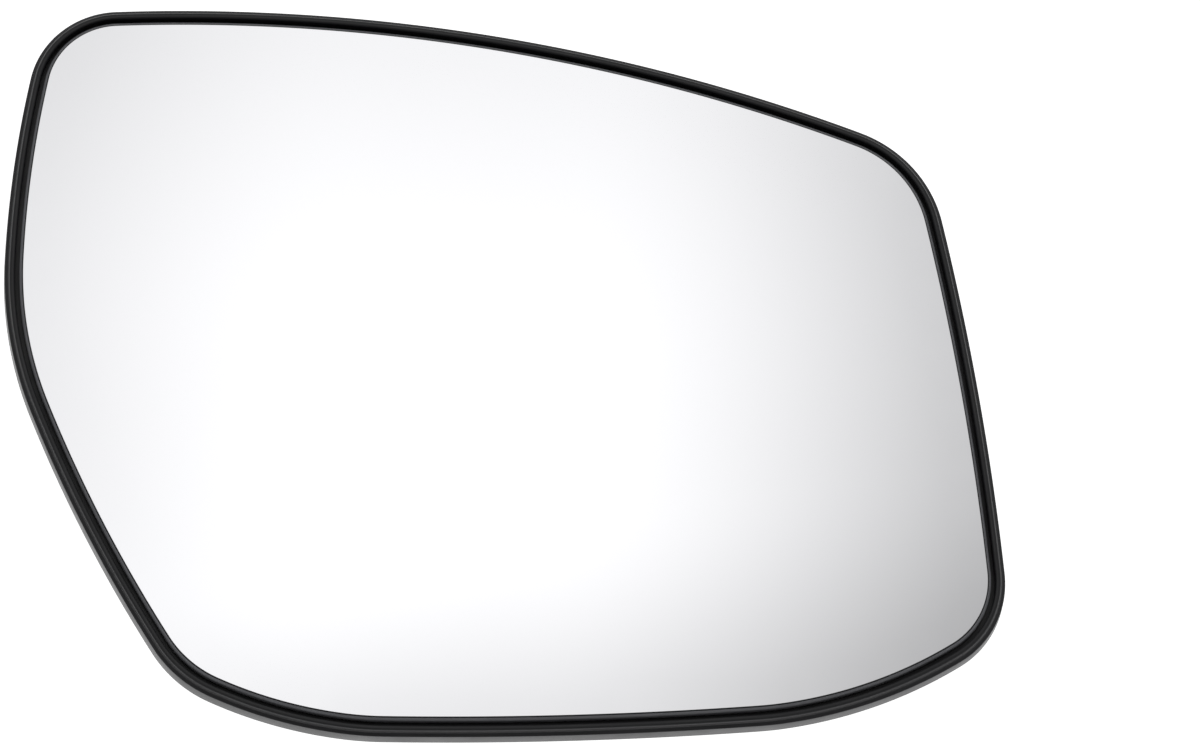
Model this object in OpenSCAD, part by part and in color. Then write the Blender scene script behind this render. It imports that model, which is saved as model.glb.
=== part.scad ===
// Door mirror glass: a convex pane bonded into a moulded backing plate.
// It lies glass up. The origin is on the axis of the snap ring at the rear,
// midway along the land of its claws, and +Z points out of the glass.

/* [Outline of the mirrored face, corner points] */
// Lower right corner, across
low_right_x = 93.5; // [88:0.5:99]
// How far the lower right corner stands above the right end of the middle of the bottom edge
low_right_rise = 18.5; // [16:0.5:23]
// Upper right corner, across
top_right_x = 79; // [73:0.5:85]
// How far the upper right corner stays below the upper left corner
top_right_drop = 25; // [20:0.5:31]
// Upper left corner, across
top_left_x = -82.5; // [-87:0.5:-77]
// Height of the pane, from the left end of the middle of the bottom edge to the upper left corner
pane_height = 135.5; // [125:0.5:145]
// How far the left bulge stands out beyond the upper left corner
left_reach = 6.5; // [4:0.5:9]
// How far the left bulge stays below the upper left corner
left_drop = 61.5; // [57:0.5:66]
// How far the lower left corner stays in from the upper left corner
low_left_in = 25; // [22:0.5:28]
// How far the lower left corner stands above the left end of the middle of the bottom edge
low_left_rise = 10; // [9:0.5:12]
// Left end of the middle of the bottom edge, across
bottom_left_x = -23; // [-27:0.5:-20]
// Left end of the middle of the bottom edge, up
bottom_left_y = -67.5; // [-72:0.5:-63]
// Right end of the middle of the bottom edge, across
bottom_right_x = 51; // [48:0.5:55]
// How far the middle of the bottom edge rises from its left to its right end
bottom_rise = 3.6; // [3:0.1:4]

/* [Outline of the mirrored face, corner radii] */
// Radius of the lower right corner
low_right_round = 15; // [12:0.5:20]
// Radius of the upper right corner
top_right_round = 20.5; // [16:0.5:30]
// Radius of the upper left corner
top_left_round = 13.5; // [10:0.5:20]
// Radius of the left bulge
left_round = 71; // [50:1:85]
// Radius of the lower left corner
low_left_round = 21; // [16:0.5:28]
// Radius between the left part and the middle of the bottom edge
bottom_left_round = 61; // [40:1:80]
// Radius between the middle and the right part of the bottom edge
bottom_right_round = 60; // [40:1:80]

/* [Outline of the mirrored face, bow of the sides] */
// How far the right side bows out
right_bow = 1.7; // [0.8:0.1:3]
// How far the top side bows out
top_bow = 9; // [7:0.1:11]
// How far the upper left side bows out
upper_left_bow = 2.2; // [1.5:0.1:3]
// How far the lower left side bows out
lower_left_bow = 2.3; // [1.5:0.1:3.5]
// How far the left part of the bottom edge bows out
bottom_left_bow = 2; // [1.2:0.1:2.3]
// How far the middle of the bottom edge bows out
bottom_bow = 1; // [0.4:0.1:1.6]
// How far the right part of the bottom edge bows out
bottom_right_bow = 3.2; // [2:0.1:3.5]

/* [Mirror pane] */
// Radius of the convex face
face_radius = 1300; // [1000:50:2000]
// Thickness of the pane
glass_thick = 2; // [1.6:0.1:2.6]
// Width of the ground bevel outside the mirrored face
bevel_width = 0.7; // [0.4:0.1:0.9]
// Depth of the ground bevel
bevel_depth = 0.5; // [0.3:0.1:0.8]

/* [Adhesive sheet] */
// Thickness of the foam sheet
pad_thick = 0.8; // [0.5:0.1:1.2]
// How far the sheet stays inside the mirrored face
pad_inset = 2.5; // [1:0.5:6]

/* [Backing plate] */
// Thickness of the floor behind the sheet
floor_thick = 2.2; // [1.6:0.1:3]
// Gap between the edge of the pane and the rim
rim_gap = 0.85; // [0.6:0.05:1.2]
// Width of the rim at its top
rim_width = 1.1; // [1:0.1:1.6]
// How far the rim stays below the mirrored face
rim_drop = 0.3; // [0.1:0.1:0.6]
// Radius of the rounded edges of the rim
rim_round = 0.42; // [0.2:0.02:0.48]
// Draft of the outer wall of the rim, from its top to the step
rim_draft = 0.1; // [0.05:0.05:0.3]
// Depth of the step outside the rim, below the mirrored face
step_depth = 1.4; // [1.2:0.1:2]
// Width of the step at its top
step_width = 0.75; // [0.5:0.05:1]
// Draft of the flange below the step
flange_draft = 0.1; // [0.05:0.05:0.3]
// Height of the flange below the step
flange_height = 3.8; // [3.2:0.1:4.4]

/* [Ribs at the rear] */
// Number of radial ribs
rib_count = 12; // [8:1:16]
// Thickness of a rib
rib_thick = 1.4; // [1:0.1:2]
// Height of the ribs below the floor
rib_height = 2.4; // [1.5:0.1:3.5]
// How far the ends of the ribs stay inside the mirrored face
rib_inset = 5; // [3:0.5:10]
// Radius of the round rib that ties the radial ribs
tie_radius = 50; // [42:1:56]

/* [Snap ring at the rear] */
// Inner radius of the ring
ring_radius = 27.5; // [26:0.5:30]
// Thickness of the ring
ring_wall = 1.9; // [1.5:0.1:2.5]
// Height of the ring below the floor, on its axis
ring_height = 9; // [8:0.5:12]
// Number of snap claws in the ring
claw_count = 6; // [6:1:8]
// Angle that one claw takes up
claw_angle = 24; // [23:0.5:28]
// How far the nose of a claw stands in from the ring
claw_nose = 1.3; // [0.8:0.1:1.6]
// Length of the straight land of the nose
nose_land = 2; // [1.6:0.1:2.4]
// Height of the slopes below and above the land
nose_slope = 0.8; // [0.5:0.1:1.2]
// How far the lower slope begins above the foot of the ring
nose_lift = 0.3; // [0.2:0.1:0.6]
// Angle by which the nose stays inside the claw at each side
nose_margin = 1; // [0.5:0.5:2]
// Width of the slots beside a claw
slot_width = 1.4; // [1:0.1:2]
// Depth of the slots from the foot of the ring
slot_depth = 6; // [5:0.5:6.5]
// Number of gussets outside the ring
gusset_count = 6; // [6:1:8]
// How far a gusset reaches out from the ring
gusset_reach = 6; // [4:0.5:9]
// How far a gusset stays above the foot of the ring
gusset_drop = 2; // [1:0.5:4]

/* [Hidden] */
$fn = 96;

// Largest gap between the outline's arcs and its chords
chord_error = 0.02;
// Chords in a rounded edge of the rim
round_steps = 3;
// What a piece reaches past a face that trims it
over = 1;
// How far ribs, ring and gussets are rooted in the floor
root = 0.8;

// Corner points that follow their neighbours
left_x = top_left_x - left_reach;
low_left_x = top_left_x + low_left_in;
low_left_y = bottom_left_y + low_left_rise;
bottom_right_y = bottom_left_y + bottom_rise;
low_right_y = bottom_right_y + low_right_rise;
top_left_y = bottom_left_y + pane_height;
left_y = top_left_y - left_drop;
top_right_y = top_left_y - top_right_drop;

// Corner points of the mirrored face, counter-clockwise from the lower right
corners = [
    [low_right_x, low_right_y],
    [top_right_x, top_right_y],
    [top_left_x, top_left_y],
    [left_x, left_y],
    [low_left_x, low_left_y],
    [bottom_left_x, bottom_left_y],
    [bottom_right_x, bottom_right_y]
];
rounds = [
    low_right_round,
    top_right_round,
    top_left_round,
    left_round,
    low_left_round,
    bottom_left_round,
    bottom_right_round
];
bows = [
    right_bow,
    top_bow,
    upper_left_bow,
    lower_left_bow,
    bottom_left_bow,
    bottom_bow,
    bottom_right_bow
];
sides = len(corners);

// Heights on the axis: the foot of the ring, the back of the floor, the face
foot_z = -nose_lift - nose_slope - nose_land / 2;
floor_back_z = foot_z + ring_height;
face_z = floor_back_z + floor_thick + pad_thick + glass_thick;
pad_depth = glass_thick;
floor_depth = pad_depth + pad_thick;
back_depth = floor_depth + floor_thick;

// Section of the rim, outward from the edge of the mirrored face
rim_in = bevel_width + rim_gap;
rim_out = rim_in + rim_width;
wall_foot = rim_out + rim_draft;
step_out = wall_foot + step_width;
flange_out = step_out + flange_draft;
flange_depth = step_depth + flange_height;
floor_edge = rim_in + rim_width / 2;

// Angle of the direction of v, counter-clockwise from +X
function bearing(v) = atan2(v[1], v[0]);

// The angle nearest to a that points the same way as b
function near(a, b) = b + 360 * round((a - b) / 360);

// Circle of the side from p to q that bows out by bow: its centre and radius
function side_circle(p, q, bow) =
    let (
        chord = norm(q - p),
        radius = chord * chord / (8 * bow) + bow / 2,
        inward = [p[1] - q[1], q[0] - p[0]] / chord
    )
    [(p + q) / 2 + inward * (radius - bow), radius];

// Centre of the circle of radius r inside the circles a and b, nearest to p
function corner_centre(a, b, r, p) =
    let (
        ra = a[1] - r,
        rb = b[1] - r,
        d = norm(b[0] - a[0]),
        along = (ra * ra - rb * rb + d * d) / (2 * d),
        across = sqrt(max(0, ra * ra - along * along)),
        u = (b[0] - a[0]) / d,
        foot = a[0] + u * along,
        n = [-u[1], u[0]] * across
    )
    norm(foot + n - p) < norm(foot - n - p) ? foot + n : foot - n;

side_circles = [for (i = [0:sides - 1]) side_circle(corners[i], corners[(i + 1) % sides], bows[i])];
corner_centres = [
    for (i = [0:sides - 1])
        corner_centre(side_circles[(i + sides - 1) % sides], side_circles[i], rounds[i], corners[i])
];

// Stations along one arc, each a centre, a radius and an angle, without the arc's end
function arc_stations(centre, radius, from, to) =
    let (steps = max(2, ceil((to - from) / (2 * acos(1 - chord_error / radius)))))
    [for (k = [0:steps - 1]) [centre, radius, from + (to - from) * k / steps]];

// Stations of side i and of the corner that follows it
function side_stations(i) =
    let (
        j = (i + 1) % sides,
        side = side_circles[i],
        next = side_circles[j],
        a = bearing(corner_centres[i] - side[0]),
        b = near(a, bearing(corner_centres[j] - side[0])),
        c = near(b, bearing(corner_centres[j] - next[0]))
    )
    concat(
        arc_stations(side[0], side[1], a, b),
        arc_stations(corner_centres[j], rounds[j], b, c)
    );

stations = [for (i = [0:sides - 1]) each side_stations(i)];
count = len(stations);

// The outline, moved out by the given distance
function outline(out) = [for (s = stations) s[0] + (s[1] + out) * [cos(s[2]), sin(s[2])]];

// Height of the mirrored face above the point p
function face_height(p) = face_z - face_radius + sqrt(face_radius * face_radius - p * p);

// A loop of points above the outline, moved out, at a depth below the mirrored face
function loop_at(out, depth) = [for (p = outline(out)) [p[0], p[1], face_height(p) - depth]];

// A loop of points above the outline, moved out, at one height
function level_loop(out, z) = [for (p = outline(out)) [p[0], p[1], z]];

// Points of a quarter round about c, from the angle a to the angle b
function quarter(c, r, a, b) =
    [for (k = [0:round_steps]) c + r * [cos(a + (b - a) * k / round_steps), sin(a + (b - a) * k / round_steps)]];

// Section of the rim: distance out from the mirrored face's edge, and depth below the face
rim_section = concat(
    [[rim_in, flange_depth]],
    quarter([rim_in + rim_round, rim_drop + rim_round], rim_round, 180, 270),
    quarter([rim_out - rim_round, rim_drop + rim_round], rim_round, 270, 360),
    [[wall_foot, step_depth]],
    quarter([step_out - rim_round / 2, step_depth + rim_round / 2], rim_round / 2, 270, 360),
    [[flange_out, flange_depth]]
);

// Faces between two loops of the outline, which start at the points i and j
function band(i, j) = [for (k = [0:count - 1]) [i + k, i + (k + 1) % count, j + (k + 1) % count, j + k]];

// Faces of one band, each cut in two triangles
function band_triangles(i, j) = [
    for (q = band(i, j))
        each [[q[0], q[1], q[2]], [q[0], q[2], q[3]]]
];

// A section swept round the outline, parallel to the mirrored face
module swept(section) {
    n = len(section);
    polyhedron(
        points = [for (s = section) each loop_at(s[0], s[1])],
        faces = [for (i = [0:n - 1]) each band_triangles(count * i, count * ((i + 1) % n))],
        convexity = 6
    );
}

// A closed body with one loop above the other and a flat end on the first and the last
module stacked(loops) {
    n = len(loops);
    polyhedron(
        points = [for (l = loops) each l],
        faces = concat(
            [[for (k = [0:count - 1]) k]],
            [for (i = [0:n - 2]) each band_triangles(count * (i + 1), count * i)],
            [[for (k = [0:count - 1]) count * n - 1 - k]]
        ),
        convexity = 4
    );
}

// The space between two depths below the mirrored face, everywhere under it
module layer(from, to) {
    translate([0, 0, face_z - face_radius]) rotate([90, 0, 0]) difference() {
        sphere(r = face_radius - from, $fn = 256);
        sphere(r = face_radius - to, $fn = 256);
    }
}

// A prism on the outline, moved out by the given distance
module prism(out) {
    translate([0, 0, foot_z - over])
        linear_extrude(height = face_z - foot_z + 2 * over) polygon(outline(out));
}

// The edge of the pane: upright, then sloping in along the ground bevel
module pane_edge() {
    slope = bevel_width / bevel_depth;
    stacked([
        level_loop(bevel_width, foot_z - over),
        loop_at(bevel_width, bevel_depth),
        loop_at(-slope * over, -over),
        level_loop(-slope * over, face_z + 2 * over)
    ]);
}

module mirror_glass() {
    color("#dfe3e6") intersection() {
        layer(0, glass_thick);
        pane_edge();
    }
}

module adhesive_pad() {
    color("#3a3a3a") intersection() {
        layer(pad_depth, floor_depth);
        prism(-pad_inset);
    }
}

// The floor that the sheet is stuck to
module plate_floor() {
    intersection() {
        layer(floor_depth, back_depth);
        prism(floor_edge);
    }
}

// Radial ribs from the ring outwards, tied by one round rib
module ribs() {
    intersection() {
        layer(back_depth - root, back_depth + rib_height);
        prism(-rib_inset);
        union() {
            for (i = [0:rib_count - 1])
                rotate(360 * (i + 0.5) / rib_count)
                    translate([ring_radius + ring_wall / 2, -rib_thick / 2, foot_z])
                        cube([2 * low_right_x, rib_thick, face_z - foot_z]);
            translate([0, 0, foot_z]) difference() {
                cylinder(r = tie_radius + rib_thick / 2, h = face_z - foot_z);
                cylinder(r = tie_radius - rib_thick / 2, h = face_z - foot_z);
            }
        }
    }
}

// Bearing of claw i
function claw_bearing(i) = 360 * (i + 0.5) / claw_count;

// Nose of one claw, pointing along +X
module claw_nose() {
    half = nose_land / 2;
    angle = claw_angle - 2 * nose_margin;
    rotate(-angle / 2) rotate_extrude(angle = angle) polygon([
        [ring_radius + ring_wall / 2, -half - nose_slope],
        [ring_radius, -half - nose_slope],
        [ring_radius - claw_nose, -half],
        [ring_radius - claw_nose, half],
        [ring_radius, half + nose_slope],
        [ring_radius + ring_wall / 2, half + nose_slope]
    ]);
}

// The round snap ring that grips the adjuster
module snap_ring() {
    height = floor_back_z + root - foot_z;
    translate([0, 0, foot_z]) difference() {
        cylinder(r = ring_radius + ring_wall, h = height);
        translate([0, 0, -over]) cylinder(r = ring_radius, h = height + 2 * over);
        for (i = [0:claw_count - 1])
            for (side = [-1, 1])
                rotate(claw_bearing(i) + side * (claw_angle / 2 + asin(slot_width / 2 / ring_radius)))
                    translate([ring_radius - over, -slot_width / 2, -over])
                        cube([ring_wall + 2 * over, slot_width, slot_depth + over]);
    }
    for (i = [0:claw_count - 1])
        rotate(claw_bearing(i)) claw_nose();
}

// Three-cornered gussets that prop the ring between its claws
module gussets() {
    for (i = [0:gusset_count - 1])
        rotate(360 * i / gusset_count)
            translate([ring_radius + ring_wall / 2, rib_thick / 2, 0])
                rotate([90, 0, 0])
                    linear_extrude(height = rib_thick) polygon([
                        [0, foot_z + gusset_drop],
                        [ring_wall / 2, foot_z + gusset_drop],
                        [gusset_reach + ring_wall / 2, floor_back_z - rib_height],
                        [gusset_reach + ring_wall / 2, floor_back_z + root],
                        [0, floor_back_z + root]
                    ]);
}

module backing_plate() {
    color("#2b2b2d") union() {
        plate_floor();
        swept(rim_section);
        ribs();
        snap_ring();
        gussets();
    }
}

backing_plate();
adhesive_pad();
mirror_glass();
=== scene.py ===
"""Looks of a car door mirror glass: a convex silvered pane bonded into its moulded backing plate.

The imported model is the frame. A dense, finished piece stands over each solid that the eye
can see, the foam sheet between them gets its own finish, and the whole lies on a pale
studio floor under one large soft light. Sizes in the classes are in millimetres and
degrees, and the meshes are in metres.
"""

from __future__ import annotations

import logging
import math
from collections.abc import Sequence
from dataclasses import dataclass, field
from enum import Enum

import bpy
import numpy as np
from mathutils import Matrix, Vector
from mathutils.geometry import delaunay_2d_cdt


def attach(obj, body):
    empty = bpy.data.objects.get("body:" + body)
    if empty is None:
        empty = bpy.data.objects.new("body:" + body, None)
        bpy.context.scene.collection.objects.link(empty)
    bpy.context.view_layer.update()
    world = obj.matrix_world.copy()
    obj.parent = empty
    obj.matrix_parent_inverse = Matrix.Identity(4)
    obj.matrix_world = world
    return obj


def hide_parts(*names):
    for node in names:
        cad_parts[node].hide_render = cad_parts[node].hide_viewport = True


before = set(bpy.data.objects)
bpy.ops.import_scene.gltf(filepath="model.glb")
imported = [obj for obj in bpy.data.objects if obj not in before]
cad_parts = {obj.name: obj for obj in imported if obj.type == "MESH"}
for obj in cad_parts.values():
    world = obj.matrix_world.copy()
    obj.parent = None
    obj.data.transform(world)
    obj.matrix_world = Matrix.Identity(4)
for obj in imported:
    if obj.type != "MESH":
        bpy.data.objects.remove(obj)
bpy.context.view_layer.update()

LOG = logging.getLogger("door_mirror_glass")
MM = 0.001
WHITE = "#ffffff"
GLASS_IOR = 1.52
SOFT = "SMOOTHSTEP"

# Places of sockets that share a name: of a colour mix, and of a comparison of whole numbers.
MIX_A, MIX_B, MIX_COLOUR = 6, 7, 2
COMPARE_A, COMPARE_B = 2, 3


class Zone(Enum):
    """Parts of the pane's skin, each with a finish of its own."""

    SILVER = 0
    # A thin band at the inner edge of the bevel, dark with painted shade.
    PAINTED_BEVEL_SHADE = 1
    GROUND = 2
    PAINT = 3


class Slot(Enum):
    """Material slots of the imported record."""

    PLASTIC = "black_plastic"
    MIRROR = "mirror"


# Nodes, meshes and colours

Socket = bpy.types.NodeSocket
Inputs = dict[str | int, object]


def linear(colour: str) -> tuple[float, float, float, float]:
    """Turns an sRGB hex colour to the linear values that a shader takes.

    Args:
        colour: Colour as #rrggbb.

    Returns:
        Linear red, green and blue, and an alpha of 1.
    """
    parts = [int(colour[i : i + 2], 16) / 255 for i in (1, 3, 5)]
    red, green, blue = (
        v / 12.92 if v <= 0.04045 else ((v + 0.055) / 1.055) ** 2.4 for v in parts
    )
    return red, green, blue, 1.0


def per_metre(size: float) -> float:
    """Gives the texture scale whose features have the given size in millimetres."""
    return 1 / (size * MM)


def feed(tree: bpy.types.NodeTree, node: bpy.types.Node, inputs: Inputs) -> None:
    """Sets the input values and links of a node.

    Args:
        tree: Tree of the node.
        node: Node that takes them.
        inputs: Values or linked output sockets, by the input's name or place.
    """
    for key, value in inputs.items():
        if isinstance(value, Socket):
            tree.links.new(value, node.inputs[key])
        else:
            node.inputs[key].default_value = value


def add_node(
    tree: bpy.types.NodeTree, kind: str, inputs: Inputs | None = None, **settings: object
) -> bpy.types.Node:
    """Adds a node with its settings, input values and links.

    Args:
        tree: Tree that takes the node.
        kind: Blender's name of the node type.
        inputs: Values or linked output sockets, by the input's name or place.
        **settings: Values of the node's own properties.

    Returns:
        The new node.
    """
    node = tree.nodes.new(kind)
    for name, value in settings.items():
        setattr(node, name, value)
    feed(tree, node, inputs or {})
    return node


def blank_material(name: str) -> tuple[bpy.types.Material, bpy.types.NodeTree]:
    """Makes a material with an empty tree, and gives both.

    Args:
        name: Name of the material.

    Returns:
        The material and its tree.
    """
    material = bpy.data.materials.new(name)
    material.use_nodes = True
    material.node_tree.nodes.clear()
    return material, material.node_tree


def new_material(
    name: str,
) -> tuple[bpy.types.Material, bpy.types.NodeTree, bpy.types.Node]:
    """Makes a node material with a bare Principled shader.

    Args:
        name: Name of the material.

    Returns:
        The material, its tree and its Principled node.
    """
    material, tree = blank_material(name)
    shader = add_node(tree, "ShaderNodeBsdfPrincipled")
    add_node(tree, "ShaderNodeOutputMaterial", {"Surface": shader.outputs["BSDF"]})
    return material, tree, shader


def new_geometry_tree(
    name: str, sockets: dict[str, str]
) -> tuple[bpy.types.NodeTree, bpy.types.Node]:
    """Makes an empty Geometry Nodes tree with named inputs and one geometry output.

    Args:
        name: Name of the tree.
        sockets: Socket type of each input, by name, after the geometry.

    Returns:
        The tree and its Group Input node.
    """
    tree = bpy.data.node_groups.new(name, "GeometryNodeTree")
    for socket, kind in {"Geometry": "NodeSocketGeometry", **sockets}.items():
        tree.interface.new_socket(socket, in_out="INPUT", socket_type=kind)
    tree.interface.new_socket(
        "Geometry", in_out="OUTPUT", socket_type="NodeSocketGeometry"
    )
    return tree, add_node(tree, "NodeGroupInput")


def end_tree(
    tree: bpy.types.NodeTree,
    built: Socket,
    finishes: dict[Zone | None, bpy.types.Material],
) -> None:
    """Ends a Geometry Nodes tree: real copies, dressed, and the output.

    Args:
        tree: Tree to end.
        built: What it has built.
        finishes: Material of each zone, or None's for all of it.
    """
    real = add_node(tree, "GeometryNodeRealizeInstances", {"Geometry": built})
    dressed = real.outputs["Geometry"]
    for zone, material in finishes.items():
        inputs = {"Geometry": dressed, "Material": material}
        if zone is not None:
            inputs["Selection"] = in_zone(tree, zone)
        dressed = add_node(tree, "GeometryNodeSetMaterial", inputs).outputs["Geometry"]
    add_node(tree, "NodeGroupOutput", {"Geometry": dressed})


def in_zone(tree: bpy.types.NodeTree, zone: Zone) -> Socket:
    """Adds the nodes that tell whether a face lies in a zone.

    Args:
        tree: Tree that gets the nodes.
        zone: The zone.

    Returns:
        The answer for each face.
    """
    own = add_node(
        tree, "GeometryNodeInputNamedAttribute", {"Name": "zone"}, data_type="INT"
    )
    inputs = {COMPARE_A: own.outputs["Attribute"], COMPARE_B: zone.value}
    same = add_node(
        tree, "FunctionNodeCompare", inputs, data_type="INT", operation="EQUAL"
    )
    return same.outputs["Result"]


def run_tree(
    host: bpy.types.Object, tree: bpy.types.NodeTree, values: dict[str, object]
) -> bpy.types.Mesh:
    """Runs a Geometry Nodes tree on an object and keeps its result as a plain mesh.

    Args:
        host: Object whose mesh goes into the tree. It is removed afterwards.
        tree: Tree to run.
        values: Value of each named input.

    Returns:
        The plain mesh.
    """
    modifier = host.modifiers.new(tree.name, "NODES")
    modifier.node_group = tree
    for item in tree.interface.items_tree:
        if item.item_type == "SOCKET" and item.in_out == "INPUT":
            if item.name in values:
                modifier[item.identifier] = values[item.name]
    graph = bpy.context.evaluated_depsgraph_get()
    graph.update()
    mesh = bpy.data.meshes.new_from_object(
        host.evaluated_get(graph), preserve_all_data_layers=True, depsgraph=graph
    )
    host.modifiers.remove(modifier)
    bpy.data.objects.remove(host)
    return mesh


def linked(name: str, data: bpy.types.ID) -> bpy.types.Object:
    """Puts a mesh or a camera into the scene as an object at the origin.

    Args:
        name: Name of the object.
        data: The mesh or camera.

    Returns:
        The object.
    """
    piece = bpy.data.objects.new(name, data)
    bpy.context.scene.collection.objects.link(piece)
    return piece


@dataclass
class Skin:
    """Points and faces of one mesh while it is built, in millimetres.

    Each face has a zone, and each of its corners a place on the skin for the UV map.
    """

    points: list[tuple[float, float, float]] = field(default_factory=list)
    faces: list[tuple[int, ...]] = field(default_factory=list)
    zones: list[int] = field(default_factory=list)
    places: list[tuple[float, float]] = field(default_factory=list)

    def add_points(self, flat: np.ndarray, z: np.ndarray | float) -> int:
        """Adds points and gives the place of the first.

        Args:
            flat: The points' x and y.
            z: Their height, or one for all of them.

        Returns:
            Index of the first new point.
        """
        first = len(self.points)
        heights = np.broadcast_to(z, len(flat))
        self.points.extend(
            (float(p[0]), float(p[1]), float(h)) for p, h in zip(flat, heights)
        )
        return first

    def add_face(
        self,
        corners: Sequence[int],
        zone: int = 0,
        places: Sequence[tuple[float, float]] | None = None,
    ) -> None:
        """Adds a face.

        Args:
            corners: Indices of its points, counter-clockwise from outside.
            zone: Zone that it belongs to.
            places: Place of each corner on the skin, or None for its x and y.
        """
        self.faces.append(tuple(corners))
        self.zones.append(zone)
        self.places.extend(places or [self.points[c][:2] for c in corners])

    def add_band(
        self,
        lower: int,
        upper: int,
        along: np.ndarray,
        across: tuple[float, float],
        zone: int = 0,
    ) -> None:
        """Joins two closed loops of equally many points.

        Args:
            lower: First point of the loop that lies lower on the skin.
            upper: First point of the other.
            along: Distance along the loop at each point, and at its end.
            across: Distance across the skin at the lower and the upper loop.
            zone: Zone of the band's faces.
        """
        count = len(along) - 1
        for k in range(count):
            n = (k + 1) % count
            self.add_face(
                (lower + k, lower + n, upper + n, upper + k),
                zone,
                (
                    (along[k], across[0]),
                    (along[k + 1], across[0]),
                    (along[k + 1], across[1]),
                    (along[k], across[1]),
                ),
            )

    def mesh(self, name: str, sharp: float = 35.0) -> bpy.types.Mesh:
        """Turns the skin to a smooth mesh in metres, sharp along its hard edges.

        Args:
            name: Name of the mesh.
            sharp: Angle from which an edge is hard, in degrees.

        Returns:
            The mesh, with a UV map and the zone of each face.
        """
        mesh = bpy.data.meshes.new(name)
        mesh.from_pydata(
            [tuple(MM * v for v in point) for point in self.points], [], self.faces
        )
        uv = mesh.uv_layers.new(name="skin")
        uv.data.foreach_set("uv", np.array(self.places, np.float32).ravel() * MM)
        zone = mesh.attributes.new("zone", "INT", "FACE")
        zone.data.foreach_set("value", np.array(self.zones, np.int32))
        finish_edges(mesh, sharp)
        return mesh


def finish_edges(mesh: bpy.types.Mesh, sharp: float) -> None:
    """Shades a mesh smooth, apart from its hard edges.

    Args:
        mesh: Mesh to shade.
        sharp: Angle from which an edge is hard, in degrees.
    """
    mesh.update()
    mesh.polygons.foreach_set("use_smooth", [True] * len(mesh.polygons))
    mesh.set_sharp_from_angle(angle=math.radians(sharp))
    mesh.update()


# Shape that the pane and the plate share


@dataclass(frozen=True)
class Corner:
    """A corner of the pane, its rounding, and the bow of the side that follows it."""

    x: float
    y: float
    rounding: float
    bow: float


@dataclass(frozen=True)
class Outline:
    """Outline of the mirrored face: seven bowed sides between rounded corners."""

    corners: tuple[Corner, ...] = (
        Corner(93.5, -45.4, 15.0, 1.7),
        Corner(79.0, 43.0, 20.5, 9.0),
        Corner(-82.5, 68.0, 13.5, 2.2),
        Corner(-89.0, 6.5, 71.0, 2.3),
        Corner(-57.5, -57.5, 21.0, 2.0),
        Corner(-23.0, -67.5, 61.0, 1.0),
        Corner(51.0, -63.9, 60.0, 3.2),
    )
    spacing: float = 1.3
    turn: float = 2.5

    def side(self, i: int) -> tuple[np.ndarray, float]:
        """Gives the centre and radius of the side that follows corner i.

        Args:
            i: Number of the corner.

        Returns:
            The centre's x and y, and the radius.
        """
        a, b = self.corners[i], self.corners[(i + 1) % len(self.corners)]
        p, q = np.array((a.x, a.y)), np.array((b.x, b.y))
        chord = float(np.linalg.norm(q - p))
        radius = chord**2 / (8 * a.bow) + a.bow / 2
        inward = np.array((p[1] - q[1], q[0] - p[0])) / chord
        return (p + q) / 2 + inward * (radius - a.bow), radius

    def corner_centre(self, i: int) -> np.ndarray:
        """Gives the centre of the rounding of corner i.

        Args:
            i: Number of the corner.

        Returns:
            The centre's x and y.
        """
        corner = self.corners[i]
        (before, r0), (after, r1) = self.side(i - 1), self.side(i)
        r0, r1 = r0 - corner.rounding, r1 - corner.rounding
        gap = float(np.linalg.norm(after - before))
        along = (r0**2 - r1**2 + gap**2) / (2 * gap)
        across = math.sqrt(max(0.0, r0**2 - along**2))
        u = (after - before) / gap
        foot, n = before + u * along, np.array((-u[1], u[0])) * across
        target = np.array((corner.x, corner.y))
        return min(
            (foot + n, foot - n), key=lambda c: float(np.linalg.norm(c - target))
        )

    def arc(
        self, centre: np.ndarray, radius: float, start: float, end: float
    ) -> list[tuple[float, float, float, float]]:
        """Gives stations along one arc, without its end.

        Args:
            centre: Centre of the arc.
            radius: Its radius.
            start: Angle where it starts, in radians.
            end: Angle where it ends.

        Returns:
            Centre x and y, radius and angle of each station.
        """
        sweep = end - start
        steps = max(
            2,
            math.ceil(radius * sweep / self.spacing),
            math.ceil(math.degrees(sweep) / self.turn),
        )
        return [
            (centre[0], centre[1], radius, start + sweep * k / steps)
            for k in range(steps)
        ]

    def stations(self) -> np.ndarray:
        """Gives the stations round the whole outline, counter-clockwise.

        Returns:
            One row for each station: centre x and y, radius and angle.
        """
        found: list[tuple[float, float, float, float]] = []
        count = len(self.corners)
        for i in range(count):
            j = (i + 1) % count
            (centre, radius), (following, _) = self.side(i), self.side(j)
            c0, c1 = self.corner_centre(i), self.corner_centre(j)
            start = bearing(c0 - centre)
            middle = near(start, bearing(c1 - centre))
            end = near(middle, bearing(c1 - following))
            found += self.arc(centre, radius, start, middle)
            found += self.arc(c1, self.corners[j].rounding, middle, end)
        return np.array(found)

    def loop(self, out: float = 0.0) -> np.ndarray:
        """Gives the outline's points, moved out by a distance.

        Args:
            out: Distance out, negative for inwards.

        Returns:
            One row for each point.
        """
        s = self.stations()
        reach = (s[:, 2] + out)[:, None]
        return s[:, :2] + reach * np.stack([np.cos(s[:, 3]), np.sin(s[:, 3])], 1)

    def along(self) -> np.ndarray:
        """Gives the distance along the outline at each point, and its whole length.

        Returns:
            The distances, with the whole length as the last.
        """
        loop = self.loop()
        steps = np.linalg.norm(np.roll(loop, -1, 0) - loop, axis=1)
        return np.concatenate([[0.0], np.cumsum(steps)])


def bearing(v: np.ndarray) -> float:
    """Gives the direction of a vector, in radians."""
    return math.atan2(v[1], v[0])


def near(angle: float, other: float) -> float:
    """Gives the angle nearest to the first that points the same way as the second."""
    return other + 2 * math.pi * round((angle - other) / (2 * math.pi))


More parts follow.
